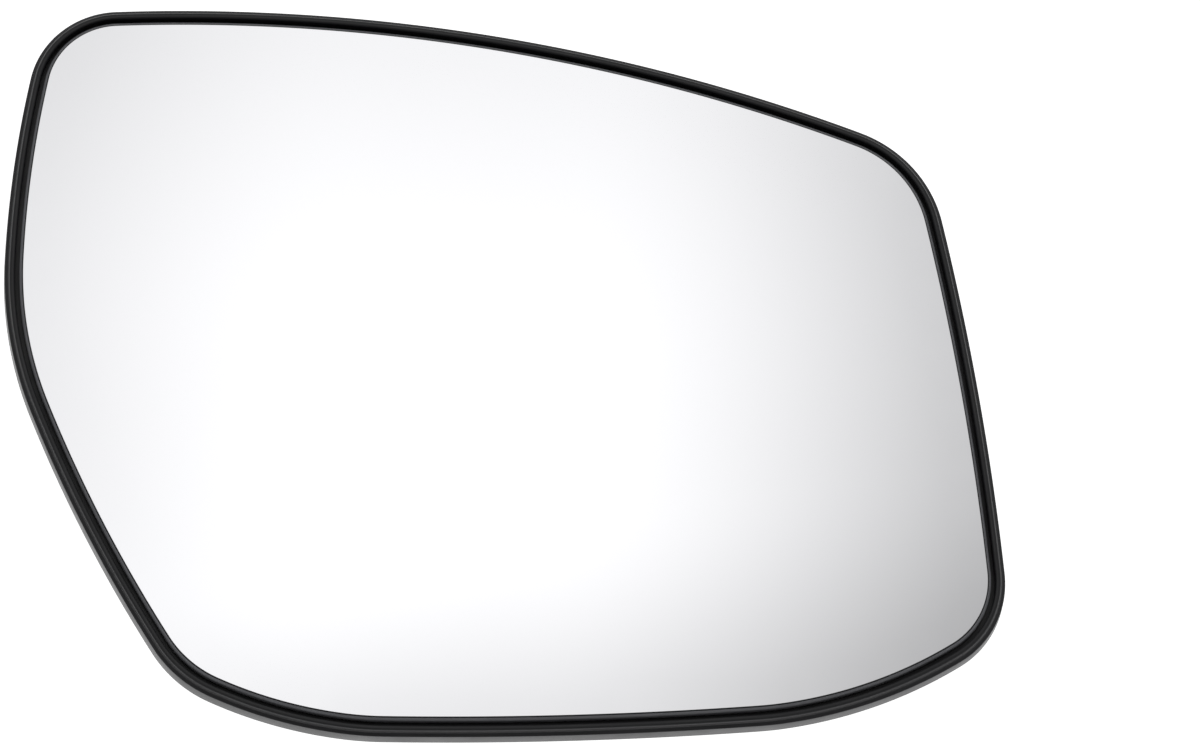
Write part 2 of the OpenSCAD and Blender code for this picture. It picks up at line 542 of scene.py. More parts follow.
@dataclass(frozen=True)
class Dome:
    """The convex face: part of a ball that is highest on the axis of the snap ring."""

    radius: float = 1300.0
    apex: float = 11.9

    def height(self, flat: np.ndarray) -> np.ndarray:
        """Gives the height of the face above the origin over flat points."""
        return self.apex - self.radius + np.sqrt(self.radius**2 - (flat**2).sum(1))

    def values(self) -> dict[str, object]:
        """Gives the values of a tree's dome inputs, in metres."""
        return {"Dome radius": self.radius * MM, "Dome top": self.apex * MM}


DOME_INPUTS = {name: "NodeSocketFloat" for name in Dome().values()}


def lift(tree: bpy.types.NodeTree, flat: Socket, given: bpy.types.Node) -> Socket:
    """Adds the nodes that lift flat geometry onto the dome.

    Args:
        tree: Geometry tree that takes the nodes.
        flat: The geometry, with the mirrored face at no height.
        given: The tree's inputs, with the dome's among them.

    Returns:
        Socket with the lifted geometry.
    """
    radius, apex = (given.outputs[name] for name in DOME_INPUTS)
    place = add_node(tree, "GeometryNodeInputPosition").outputs["Position"]
    level = {0: place, 1: (1.0, 1.0, 0.0)}
    over = add_node(tree, "ShaderNodeVectorMath", level, operation="MULTIPLY").outputs["Vector"]
    twice = {0: over, 1: over}
    square = add_node(tree, "ShaderNodeVectorMath", twice, operation="DOT_PRODUCT").outputs["Value"]
    whole = add_node(tree, "ShaderNodeMath", {0: radius, 1: radius}, operation="MULTIPLY").outputs[0]
    rest = add_node(tree, "ShaderNodeMath", {0: whole, 1: square}, operation="SUBTRACT").outputs[0]
    root = add_node(tree, "ShaderNodeMath", {0: rest}, operation="SQRT").outputs[0]
    fall = add_node(tree, "ShaderNodeMath", {0: root, 1: radius}, operation="SUBTRACT").outputs[0]
    height = add_node(tree, "ShaderNodeMath", {0: fall, 1: apex}, operation="ADD").outputs[0]
    offset = add_node(tree, "ShaderNodeCombineXYZ", {"Z": height}).outputs["Vector"]
    inputs = {"Geometry": flat, "Offset": offset}
    return add_node(tree, "GeometryNodeSetPosition", inputs).outputs["Geometry"]


def fill(loop: np.ndarray, spacing: float) -> tuple[np.ndarray, np.ndarray]:
    """Fills a loop with evenly spaced triangles.

    Args:
        loop: Points of the loop, counter-clockwise.
        spacing: Distance between the points inside.

    Returns:
        The points inside, and the triangles as indices into the loop and then those points.
    """
    low, high = loop.min(0), loop.max(0)
    rows = np.arange(low[1], high[1], spacing * math.sqrt(0.75))
    grid = np.array(
        [
            (x, y)
            for i, y in enumerate(rows)
            for x in np.arange(low[0] + (i % 2) * spacing / 2, high[0], spacing)
        ]
    )
    after = np.roll(loop, -1, 0)
    x, y = grid[:, :1], grid[:, 1:]
    crosses = (loop[:, 1] > y) != (after[:, 1] > y)
    rise = after[:, 1] - loop[:, 1]
    at = loop[:, 0] + (y - loop[:, 1]) * (after[:, 0] - loop[:, 0]) / np.where(
        rise == 0, 1, rise
    )
    inside = (crosses & (x < at)).sum(1) % 2 == 1
    clearance, tolerance = 0.6 * spacing, 1e-6
    clear = np.hypot(x - loop[:, 0], y - loop[:, 1]).min(1) > clearance
    inner = grid[inside & clear]
    every = [Vector(p) for p in np.vstack([loop, inner])]
    edge = list(range(len(loop)))
    _, _, faces, origins, _, _ = delaunay_2d_cdt(every, [], [edge], 1, tolerance)
    return inner, np.array([[origins[v][0] for v in f] for f in faces])


# Finishes


@dataclass(frozen=True)
class SilveredGlass:
    """Float glass, bent and silvered: the mirrored face.

    It gives the eye a clean, faintly cool reflection with a whisper of waviness.
    """

    name: str = "silvered_float_glass"
    tint: str = "#f2f2f4"
    roughness: float = 0.02
    film: float = 18.0
    film_shares: tuple[float, float] = (0.7, 1.5)
    wave: float = 45.0
    wave_depth: float = 0.2
    wave_strength: float = 0.02

    def material(self) -> bpy.types.Material:
        """Builds the material.

        Returns:
            The material.
        """
        material, tree, shader = new_material(self.name)
        place = add_node(tree, "ShaderNodeTexCoord").outputs["Object"]
        inputs = {"Vector": place, "Scale": per_metre(self.film), "Detail": 3.0}
        film = add_node(tree, "ShaderNodeTexNoise", inputs).outputs["Fac"]
        low, high = (self.roughness * share for share in self.film_shares)
        inputs = {"Value": film, "To Min": low, "To Max": high}
        polish = add_node(tree, "ShaderNodeMapRange", inputs).outputs["Result"]
        inputs = {"Vector": place, "Scale": per_metre(self.wave), "Detail": 0.0}
        waves = add_node(tree, "ShaderNodeTexNoise", inputs).outputs["Fac"]
        depth = self.wave_depth * MM
        inputs = {"Strength": self.wave_strength, "Distance": depth, "Height": waves}
        bump = add_node(tree, "ShaderNodeBump", inputs).outputs["Normal"]
        inputs = {"Base Color": linear(self.tint), "Roughness": polish, "Normal": bump}
        feed(tree, shader, {"Metallic": 1.0, **inputs})
        return material


@dataclass(frozen=True)
class GroundGlass:
    """Glass ground with a diamond wheel: the bevel and the edge of the pane.

    It gives the eye a dull grey line with fine marks that run along the edge.
    """

    name: str = "ground_glass_edge"
    light: str = "#97989c"
    dark: str = "#6a6b6f"
    roughness: float = 0.45
    mark: float = 0.35
    mark_squash: float = 0.06
    mark_depth: float = 0.02
    mark_strength: float = 0.25

    def material(self) -> bpy.types.Material:
        """Builds the material.

        Returns:
            The material.
        """
        material, tree, shader = new_material(self.name)
        place = add_node(tree, "ShaderNodeUVMap", uv_map="skin").outputs["UV"]
        inputs = {"Vector": place, "Scale": (self.mark_squash, 1.0, 1.0)}
        along = add_node(tree, "ShaderNodeMapping", inputs).outputs["Vector"]
        inputs = {"Vector": along, "Scale": per_metre(self.mark), "Detail": 4.0}
        marks = add_node(tree, "ShaderNodeTexNoise", inputs).outputs["Fac"]
        inputs = {"Factor": marks, MIX_A: linear(self.dark), MIX_B: linear(self.light)}
        shade = add_node(tree, "ShaderNodeMix", inputs, data_type="RGBA").outputs[MIX_COLOUR]
        depth = self.mark_depth * MM
        inputs = {"Strength": self.mark_strength, "Distance": depth, "Height": marks}
        bump = add_node(tree, "ShaderNodeBump", inputs).outputs["Normal"]
        inputs = {"Base Color": shade, "Roughness": self.roughness, "Normal": bump}
        feed(tree, shader, {"IOR": GLASS_IOR, **inputs})
        return material


@dataclass(frozen=True)
class Coating:
    """A thin coat on the glass, or a painted shade on it, with soft spots of a second shade."""

    name: str
    colour: str
    spot: str
    spot_size: float
    roughness: float
    ior: float

    def material(self) -> bpy.types.Material:
        """Builds the material.

        Returns:
            The material.
        """
        material, tree, shader = new_material(self.name)
        place = add_node(tree, "ShaderNodeTexCoord").outputs["Object"]
        inputs = {"Vector": place, "Scale": per_metre(self.spot_size)}
        spots = add_node(tree, "ShaderNodeTexNoise", inputs).outputs["Fac"]
        inputs = {"Factor": spots, MIX_A: linear(self.colour), MIX_B: linear(self.spot)}
        shade = add_node(tree, "ShaderNodeMix", inputs, data_type="RGBA").outputs[MIX_COLOUR]
        inputs = {"Base Color": shade, "Roughness": self.roughness, "IOR": self.ior}
        feed(tree, shader, inputs)
        return material


# Painted shade: a dark coat on a thin band at the inner edge of the bevel gives the dark line seen
# there, where the glass's thickness shows.
PAINTED_BEVEL_SHADE = Coating(
    name="painted_bevel_shade",
    colour="#1c1c1f",
    spot="#29292c",
    spot_size=0.8,
    roughness=0.3,
    ior=GLASS_IOR,
)

# Protective paint over the silver gives the pane a grey back, matt and slightly uneven.
BACK_PAINT = Coating(
    name="mirror_back_paint",
    colour="#4b4e52",
    spot="#5b5e62",
    spot_size=12.0,
    roughness=0.7,
    ior=1.5,
)


@dataclass(frozen=True)
class MouldedPlastic:
    """ABS, injection moulded in a finely eroded tool: the backing plate.

    It gives the eye a near-black satin skin with a fine grain and slow changes of gloss.
    The grain is really 0.1 mm and is drawn at 0.3 mm so that it shows.
    """

    name: str = "moulded_black_abs"
    colour: str = "#1a1a1c"
    worn: str = "#242427"
    gloss: tuple[float, float] = (0.34, 0.48)
    gloss_span: tuple[float, float] = (0.3, 0.7)
    grain: float = 0.3
    grain_depth: float = 0.03
    grain_strength: float = 0.3
    flow: float = 14.0
    ior: float = 1.5

    def material(self) -> bpy.types.Material:
        """Builds the material.

        Returns:
            The material.
        """
        material, tree, shader = new_material(self.name)
        place = add_node(tree, "ShaderNodeTexCoord").outputs["Object"]
        inputs = {"Vector": place, "Scale": per_metre(self.grain), "Detail": 2.0}
        grain = add_node(tree, "ShaderNodeTexNoise", inputs).outputs["Fac"]
        inputs = {"Vector": place, "Scale": per_metre(self.flow), "Detail": 5.0, "Roughness": 0.6}
        flow = add_node(tree, "ShaderNodeTexNoise", inputs).outputs["Fac"]
        inputs = {"Factor": flow, MIX_A: linear(self.colour), MIX_B: linear(self.worn)}
        shade = add_node(tree, "ShaderNodeMix", inputs, data_type="RGBA").outputs[MIX_COLOUR]
        inputs = {
            "Value": flow,
            "From Min": self.gloss_span[0],
            "From Max": self.gloss_span[1],
            "To Min": self.gloss[0],
            "To Max": self.gloss[1],
        }
        gloss = add_node(tree, "ShaderNodeMapRange", inputs).outputs["Result"]
        depth = self.grain_depth * MM
        inputs = {"Strength": self.grain_strength, "Distance": depth, "Height": grain}
        bump = add_node(tree, "ShaderNodeBump", inputs).outputs["Normal"]
        inputs = {"Base Color": shade, "Roughness": gloss, "IOR": self.ior, "Normal": bump}
        feed(tree, shader, inputs)
        return material


@dataclass(frozen=True)
class FoamTape:
    """Closed-cell polyethylene foam with adhesive on both sides: a soft dark grey sheet."""

    name: str = "closed_cell_foam"
    colour: str = "#3a3a3c"
    cell_wall: str = "#4a4a4d"
    roughness: float = 0.85
    cell: float = 0.5
    cell_depth: float = 0.1
    cell_strength: float = 0.5

    def material(self) -> bpy.types.Material:
        """Builds the material.

        Returns:
            The material.
        """
        material, tree, shader = new_material(self.name)
        place = add_node(tree, "ShaderNodeTexCoord").outputs["Object"]
        inputs = {"Vector": place, "Scale": per_metre(self.cell)}
        froth = add_node(tree, "ShaderNodeTexVoronoi", inputs, feature="DISTANCE_TO_EDGE")
        cells = froth.outputs["Distance"]
        inputs = {"Factor": cells, MIX_A: linear(self.cell_wall), MIX_B: linear(self.colour)}
        shade = add_node(tree, "ShaderNodeMix", inputs, data_type="RGBA").outputs[MIX_COLOUR]
        depth = self.cell_depth * MM
        inputs = {"Strength": self.cell_strength, "Distance": depth, "Height": cells}
        bump = add_node(tree, "ShaderNodeBump", inputs).outputs["Normal"]
        inputs = {"Base Color": shade, "Roughness": self.roughness, "Normal": bump}
        feed(tree, shader, inputs)
        return material


# Pieces


@dataclass
class MirrorPane:
    """The mirror glass: cut flat to the outline, ground round its edge, then bent to the dome."""

    outline: Outline
    dome: Dome
    thickness: float = 2.0
    bevel_width: float = 0.7
    bevel_depth: float = 0.5
    # Width of the band of painted shade at the inner edge of the bevel.
    painted_shade_width: float = 0.26
    edge_round: float = 0.12
    edge_middle: tuple[float, float] = (0.3, 0.25)
    back_arris: float = 0.15
    spacing: float = 4.5
    sharp: float = 25.0

    def blank(self) -> bpy.types.Mesh:
        """Builds the flat pane, with its mirrored face at no height.

        Returns:
            The closed mesh, with a zone on each face.
        """
        skin = Skin()
        along = self.outline.along()
        slope = self.bevel_depth / self.bevel_width
        r, (inward, down) = self.edge_round, self.edge_middle
        rings = (
            # The first band is dark with painted shade: the line where the glass's thickness shows.
            (0.0, 0.0, Zone.PAINTED_BEVEL_SHADE),
            (self.painted_shade_width, self.painted_shade_width * slope, Zone.GROUND),
            (self.bevel_width - r, self.bevel_depth - r * slope, Zone.GROUND),
            (self.bevel_width - r * inward, self.bevel_depth + r * down, Zone.GROUND),
            (self.bevel_width, self.bevel_depth + r, Zone.GROUND),
            (self.bevel_width, self.thickness - self.back_arris, Zone.GROUND),
            (self.bevel_width - self.back_arris, self.thickness, Zone.PAINT),
        )
        starts = [
            skin.add_points(self.outline.loop(out), -depth) for out, depth, _ in rings
        ]
        across = 0.0
        for i in range(len(rings) - 1):
            (out, depth, zone), (next_out, next_depth, _) = rings[i], rings[i + 1]
            step = math.hypot(next_out - out, next_depth - depth)
            skin.add_band(
                starts[i + 1], starts[i], along, (across + step, across), zone.value
            )
            across += step
        self.cap(skin, starts[0], self.outline.loop(0.0), 0.0, Zone.SILVER, True)
        back = self.outline.loop(rings[-1][0])
        self.cap(skin, starts[-1], back, -self.thickness, Zone.PAINT, False)
        return skin.mesh("mirror_blank", self.sharp)

    def cap(
        self,
        skin: Skin,
        start: int,
        loop: np.ndarray,
        z: float,
        zone: Zone,
        upward: bool,
    ) -> None:
        """Closes the pane over one loop with even triangles.

        Args:
            skin: Skin that takes the faces.
            start: First point of the loop.
            loop: Points of the loop.
            z: Height of the cap.
            zone: Zone of its faces.
            upward: Whether the cap faces up.
        """
        inner, triangles = fill(loop, self.spacing)
        first = skin.add_points(inner, z)
        count = len(loop)
        for triangle in triangles:
            corners = [int(start + v if v < count else first + v - count) for v in triangle]
            skin.add_face(corners if upward else corners[::-1], zone.value)

    def build(self) -> bpy.types.Object:
        """Builds, bends and dresses the pane, and sets it on the frame.

        Returns:
            The piece.
        """
        tree, given = new_geometry_tree("bend_pane", DOME_INPUTS)
        finishes = {
            Zone.SILVER: SilveredGlass().material(),
            # Painted shade on the band at the inner edge of the bevel.
            Zone.PAINTED_BEVEL_SHADE: PAINTED_BEVEL_SHADE.material(),
            Zone.GROUND: GroundGlass().material(),
            Zone.PAINT: BACK_PAINT.material(),
        }
        end_tree(tree, lift(tree, given.outputs["Geometry"], given), finishes)
        flat = linked("mirror_blank", self.blank())
        pane = linked("mirror_pane", run_tree(flat, tree, self.dome.values()))
        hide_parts("mirror_glass")
        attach(pane, "root")
        return pane


def arc_points(
    centre: tuple[float, float], radius: float, start: float, end: float, steps: int
) -> list[tuple[float, float]]:
    """Gives points of an arc, both ends included.

    Args:
        centre: Centre of the arc.
        radius: Its radius.
        start: Angle where it starts, in degrees.
        end: Angle where it ends.
        steps: Number of chords.

    Returns:
        The points.
    """
    angles = [math.radians(start + (end - start) * k / steps) for k in range(steps + 1)]
    return [
        (centre[0] + radius * math.cos(a), centre[1] + radius * math.sin(a))
        for a in angles
    ]


@dataclass
class BackingPlate:
    """The moulding that carries the pane: rim, stepped flange, floor, ribs and snap ring."""

    outline: Outline
    dome: Dome
    floor_depth: float = 2.8
    back_depth: float = 5.0
    rim_in: float = 1.55
    rim_out: float = 2.65
    rim_drop: float = 0.3
    rim_round: float = 0.42
    wall_foot: float = 2.75
    step_depth: float = 1.4
    step_out: float = 3.5
    step_round: float = 0.21
    step_fillet: float = 0.3
    step_slope: float = 32.0
    step_drop: float = 0.1
    flange_out: float = 3.6
    flange_depth: float = 5.2
    flange_round: float = 0.28
    chords: tuple[int, int, int, int] = (7, 3, 4, 5)
    floor_edge: float = 2.1
    root: float = 0.8
    rib_count: int = 12
    rib_thick: float = 1.4
    rib_height: float = 2.4
    rib_inset: float = 5.0
    rib_round: float = 0.3
    rib_chords: int = 3
    rib_spacing: float = 3.0
    tie_radius: float = 50.0
    tie_steps: int = 120
    foot: float = -2.1
    ring_radius: float = 27.5
    ring_wall: float = 1.9
    claw_count: int = 6
    claw_angle: float = 24.0
    claw_nose: float = 1.3
    nose_land: float = 2.0
    nose_slope: float = 0.8
    nose_margin: float = 1.0
    slot_width: float = 1.4
    slot_depth: float = 6.0
    ring_steps: int = 12
    gusset_count: int = 6
    gusset_reach: float = 6.0
    gusset_drop: float = 2.0
    spacing: float = 5.0
    sharp: float = 32.0

    @property
    def floor_back(self) -> float:
        """Height of the floor's back on the axis."""
        return self.dome.apex - self.back_depth

    def rim_section(self) -> list[tuple[float, float]]:
        """Gives the section of rim, step and flange: distance out, and depth below the face.

        Returns:
            The corners of the section, from the rim's inner foot round to the flange's foot.
        """
        r, s = self.rim_round, self.step_round
        f, e = self.flange_round, self.step_fillet
        level, turn = self.step_depth, self.step_slope
        rim, fillet, step, flange = self.chords
        return [
            (self.rim_in, self.flange_depth),
            *arc_points((self.rim_in + r, self.rim_drop + r), r, 180, 270, rim),
            *arc_points((self.rim_out - r, self.rim_drop + r), r, 270, 360, rim),
            *arc_points((self.wall_foot + e, level - e), e, 180, 90 + turn, fillet),
            *arc_points(
                (self.step_out - s, level + s + self.step_drop), s, 270 + turn, 360, step
            ),
            *arc_points((self.flange_out - f, self.flange_depth - f), f, 0, 90, flange),
        ]

    def rib_section(self) -> list[tuple[float, float]]:
        """Gives the section of a rib: distance across, and depth below the face.

        Returns:
            The corners of the section, from one root to the other.
        """
        half, r = self.rib_thick / 2, self.rib_round
        top, tip = self.back_depth - self.root, self.back_depth + self.rib_height
        steps = self.rib_chords
        return [
            (-half, top),
            *arc_points((-half + r, tip - r), r, 180, 90, steps),
            *arc_points((half - r, tip - r), r, 90, 0, steps),
            (half, top),
        ]

    def sweep_tree(self, material: bpy.types.Material) -> bpy.types.NodeTree:
        """Builds the tree that sweeps a section along paths and lifts it onto the dome.

        Args:
            material: Finish of the swept body.

        Returns:
            The tree, with the section and the dome's sizes as its inputs.
        """
        sockets = {"Section": "NodeSocketObject", **DOME_INPUTS}
        tree, given = new_geometry_tree("sweep_on_dome", sockets)
        rail = {"Mesh": given.outputs["Geometry"]}
        path = {"Curve": add_node(tree, "GeometryNodeMeshToCurve", rail).outputs["Curve"]}
        upright = add_node(tree, "GeometryNodeSetCurveNormal", path, mode="Z_UP")
        held = {"Object": given.outputs["Section"]}
        section = add_node(tree, "GeometryNodeObjectInfo", held).outputs["Geometry"]
        profile = add_node(tree, "GeometryNodeMeshToCurve", {"Mesh": section})
        inputs = {
            "Curve": upright.outputs["Curve"],
            "Profile Curve": profile.outputs["Curve"],
            "Fill Caps": True,
        }
        swept = add_node(tree, "GeometryNodeCurveToMesh", inputs).outputs["Mesh"]
        end_tree(tree, lift(tree, swept, given), {None: material})
        return tree

    def swept(
        self,
        tree: bpy.types.NodeTree,
        paths: Sequence[np.ndarray],
        closed: bool,
        section: Sequence[tuple[float, float]],
    ) -> bpy.types.Mesh:
        """Sweeps a section along flat paths.

        Args:
            tree: The sweep tree.
            paths: Points of each path.
            closed: Whether the paths close.
            section: Distance out and depth of each point of the section.

        Returns:
            The swept mesh.
        """
        points: list[tuple[float, float, float]] = []
        edges: list[tuple[int, int]] = []
        for path in paths:
            first, count = len(points), len(path)
            points += [(float(p[0]) * MM, float(p[1]) * MM, 0.0) for p in path]
            edges += [(first + k, first + k + 1) for k in range(count - 1)]
            if closed:
                edges.append((first + count - 1, first))
        rail = bpy.data.meshes.new("rail")
        rail.from_pydata(points, edges, [])
        count = len(section)
        cut = bpy.data.meshes.new("section")
        cut.from_pydata(
            [(out * MM, depth * MM, 0.0) for out, depth in section],
            [(k, (k + 1) % count) for k in range(count)],
            [],
        )
        profile = linked("section", cut)
        values = {"Section": profile, **self.dome.values()}
        mesh = run_tree(linked("rail", rail), tree, values)
        bpy.data.objects.remove(profile)
        return mesh

    def floor(self) -> bpy.types.Mesh:
        """Builds the domed floor behind the foam sheet as a closed slab.

        Returns:
            The closed mesh.
        """
        skin = Skin()
        loop = self.outline.loop(self.floor_edge)
        height = self.dome.height(loop)
        inner, triangles = fill(loop, self.spacing)
        inner_height = self.dome.height(inner)
        count = len(loop)
        starts = []
        for depth in (self.floor_depth, self.back_depth):
            start = skin.add_points(loop, height - depth)
            skin.add_points(inner, inner_height - depth)
            starts.append(start)
        for triangle in triangles:
            skin.add_face([starts[0] + int(v) for v in triangle])
            skin.add_face([starts[1] + int(v) for v in triangle[::-1]])
        for k in range(count):
            n = (k + 1) % count
            skin.add_face((starts[1] + k, starts[1] + n, starts[0] + n, starts[0] + k))
        return skin.mesh("plate_floor")

    def rib_paths(self) -> list[np.ndarray]:
        """Gives the flat paths of the radial ribs, from the ring to near the outline.

        Returns:
            The points of each path.
        """
        loop = self.outline.loop(-self.rib_inset)
        after = np.roll(loop, -1, 0)
        start = self.ring_radius + self.ring_wall / 2
        paths = []
        for i in range(self.rib_count):
            angle = 2 * math.pi * (i + 0.5) / self.rib_count
            u = np.array((math.cos(angle), math.sin(angle)))
            side = loop @ np.array((-u[1], u[0]))
            next_side = after @ np.array((-u[1], u[0]))
            hit = (side <= 0) & (next_side > 0) & (loop @ u > 0)
            k = int(np.flatnonzero(hit)[0])
            share = side[k] / (side[k] - next_side[k])
            reach = float((loop[k] + (after[k] - loop[k]) * share) @ u)
            steps = max(2, int((reach - start) / self.rib_spacing))
            paths.append(np.linspace(start, reach, steps + 1)[:, None] * u)
        return paths

    def ring(self) -> bpy.types.Mesh:
        """Builds the slotted snap ring with the noses of its claws as one closed skin.

        Returns:
            The closed mesh.
        """
        skin = Skin()
        outer = self.ring_radius + self.ring_wall
        half = self.nose_land / 2
        levels = (
            self.foot,
            -half - self.nose_slope,
            -half,
            half,
            half + self.nose_slope,
            self.foot + self.slot_depth,
            self.floor_back + self.root,
        )
        nosed = (2, 3)
        open_below = 5
        steps = self.ring_steps
        slot = 2 * math.degrees(math.asin(self.slot_width / 2 / self.ring_radius))
        columns: list[tuple[float, bool, bool]] = []
        for i in range(self.claw_count):
            middle = 360 * (i + 0.5) / self.claw_count
            start = middle - self.claw_angle / 2
            end = middle + self.claw_angle / 2
            gap = 360 / self.claw_count - self.claw_angle - 2 * slot
            columns.append((start - slot, False, False))
            columns.append((start, True, False))
            nose_start, nose_end = start + self.nose_margin, end - self.nose_margin
            columns += [
                (nose_start + (nose_end - nose_start) * k / steps, True, True)
                for k in range(steps + 1)
            ]
            columns.append((end, False, False))
            columns += [
                (end + slot + gap * k / steps, True, False) for k in range(steps)
            ]
        count = len(columns)
        inside, outside = [], []
        for z_index, z in enumerate(levels):
            angles = np.radians([c[0] for c in columns])
            noses = [c[2] and z_index in nosed for c in columns]
            reach = self.ring_radius - self.claw_nose * np.array(noses)
            unit = np.stack([np.cos(angles), np.sin(angles)], 1)
            inside.append(skin.add_points(unit * reach[:, None], z))
            outside.append(skin.add_points(unit * outer, z))

        def solid(column: int, level: int) -> bool:
            """Tells whether the cell after a column and above a level is filled."""
            return level >= open_below or columns[column % count][1]

        top = len(levels) - 1
        for k in range(count):
            n = (k + 1) % count
            for j in range(top):
                if not solid(k, j):
                    continue
                a, b = outside[j], outside[j + 1]
                c, d = inside[j], inside[j + 1]
                skin.add_face((a + k, a + n, b + n, b + k))
                skin.add_face((c + n, c + k, d + k, d + n))
                if j == 0 or not solid(k, j - 1):
                    skin.add_face((c + k, c + n, a + n, a + k))
                if j == top - 1:
                    skin.add_face((d + n, d + k, b + k, b + n))
                if not solid(k - 1, j):
                    skin.add_face((c + k, a + k, b + k, d + k))
                if not solid(k + 1, j):
                    skin.add_face((a + n, c + n, d + n, b + n))
        return skin.mesh("snap_ring")

    def gusset(self) -> bpy.types.Mesh:
        """Builds one three-cornered gusset that points along +X.

        Returns:
            The closed mesh.
        """
        near_wall = self.ring_radius + self.ring_wall / 2
        wall = near_wall + self.ring_wall / 2
        tip = wall + self.gusset_reach
        low = self.foot + self.gusset_drop
        shape = (
            (near_wall, low),
            (wall, low),
            (tip, self.floor_back - self.rib_height),
            (tip, self.floor_back + self.root),
            (near_wall, self.floor_back + self.root),
        )
        skin = Skin()
        half = self.rib_thick / 2
        for side in (-half, half):
            for x, z in shape:
                skin.add_points(np.array([(x, side)]), z)
        count = len(shape)
        skin.add_face(range(count))
        skin.add_face(range(2 * count - 1, count - 1, -1))
        for k in range(count):
            n = (k + 1) % count
            skin.add_face((k, k + count, n + count, n))
        return skin.mesh("gusset")

    def round_axis_tree(self, material: bpy.types.Material) -> bpy.types.NodeTree:
        """Builds the tree that sets copies of a piece evenly round the axis.

        Args:
            material: Finish of the copies.

        Returns:
            The tree, with the number of copies as its input.
        """
        tree, given = new_geometry_tree("set_round_axis", {"Copies": "NodeSocketInt"})
        copies = given.outputs["Copies"]
        axis = (0.0, 0.0, 0.0)
        inputs = {"Count": copies, "Start Location": axis, "Offset": axis}
        line = add_node(tree, "GeometryNodeMeshLine", inputs)
        index = add_node(tree, "GeometryNodeInputIndex").outputs["Index"]
        divided = {0: index, 1: copies}
        share = add_node(tree, "ShaderNodeMath", divided, operation="DIVIDE").outputs[0]
        turned = {0: share, 1: 2 * math.pi}
        angle = add_node(tree, "ShaderNodeMath", turned, operation="MULTIPLY").outputs[0]
        inputs = {
            "Points": line.outputs["Mesh"],
            "Instance": given.outputs["Geometry"],
            "Rotation": add_node(tree, "ShaderNodeCombineXYZ", {"Z": angle}).outputs[0],
        }
        placed = add_node(tree, "GeometryNodeInstanceOnPoints", inputs)
        end_tree(tree, placed.outputs["Instances"], {None: material})
        return tree

    def build(self) -> bpy.types.Object:
        """Builds, joins and dresses the plate, and sets it on the frame.

        Returns:
            The piece.
        """
        material = MouldedPlastic().material()
        sweep = self.sweep_tree(material)
        turn = np.linspace(0, 2 * math.pi, self.tie_steps, endpoint=False)
        tie = self.tie_radius * np.stack([np.cos(turn), np.sin(turn)], 1)
        parts = [
            self.swept(sweep, [self.outline.loop()], True, self.rim_section()),
            self.floor(),
            self.swept(sweep, self.rib_paths(), False, self.rib_section()),
            self.swept(sweep, [tie], True, self.rib_section()),
            self.ring(),
            run_tree(
                linked("gusset", self.gusset()),
                self.round_axis_tree(material),
                {"Copies": self.gusset_count},
            ),
        ]
        whole = joined("mirror_backing_plate", parts, self.sharp)
        plate = linked("mirror_backing_plate", whole)
        plate.data.materials.clear()
        plate.data.materials.append(material)
        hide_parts("backing_plate")
        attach(plate, "root")
        return plate


def joined(name: str, parts: Sequence[bpy.types.Mesh], sharp: float) -> bpy.types.Mesh:
    """Joins meshes to one, with every face pointing out.

    Args:
        name: Name of the new mesh.
        parts: Meshes to join.
        sharp: Angle from which an edge is hard, in degrees.

    Returns:
        The joined mesh.
    """
    points: list[np.ndarray] = []
    faces: list[tuple[int, ...]] = []
    first = 0
    for part in parts:
        co = np.zeros(len(part.vertices) * 3)
        part.vertices.foreach_get("co", co)
        co = co.reshape(-1, 3)
        own = [tuple(p.vertices) for p in part.polygons]
        if volume(co, own) < 0:
            own = [f[::-1] for f in own]
        points.append(co)
        faces += [tuple(first + v for v in f) for f in own]
        first += len(co)
    mesh = bpy.data.meshes.new(name)
    mesh.from_pydata(np.vstack(points).tolist(), [], faces)
    finish_edges(mesh, sharp)
    return mesh


def volume(points: np.ndarray, faces: Sequence[tuple[int, ...]]) -> float:
    """Gives the volume that faces enclose, negative where they point inwards.

    Args:
        points: Points of the mesh.
        faces: Numbers of the points of each face.

    Returns:
        The volume.
    """
    fans = [(f[0], f[k], f[k + 1]) for f in faces for k in range(1, len(f) - 1)]
    a, b, c = (points[[t[i] for t in fans]] for i in range(3))
    return float((a * np.cross(b, c)).sum() / 6)


class FoamSheet:
    """The adhesive foam sheet between pane and plate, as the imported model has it."""

    def build(self) -> bpy.types.Object:
        """Dresses the sheet in foam.

        Returns:
            The piece.
        """
        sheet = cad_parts["adhesive_pad"]
        sheet.data.materials.clear()
        sheet.data.materials.append(FoamTape().material())
        return sheet


# Studio


@dataclass(frozen=True)
class Fall:
    """A soft fall of the panel's brightness towards one side, given as an angle on the panel.

    It starts and ends at distances from the panel's middle, and loses a share of the light.
    """

    side: float
    start: float
    end: float
    loss: float


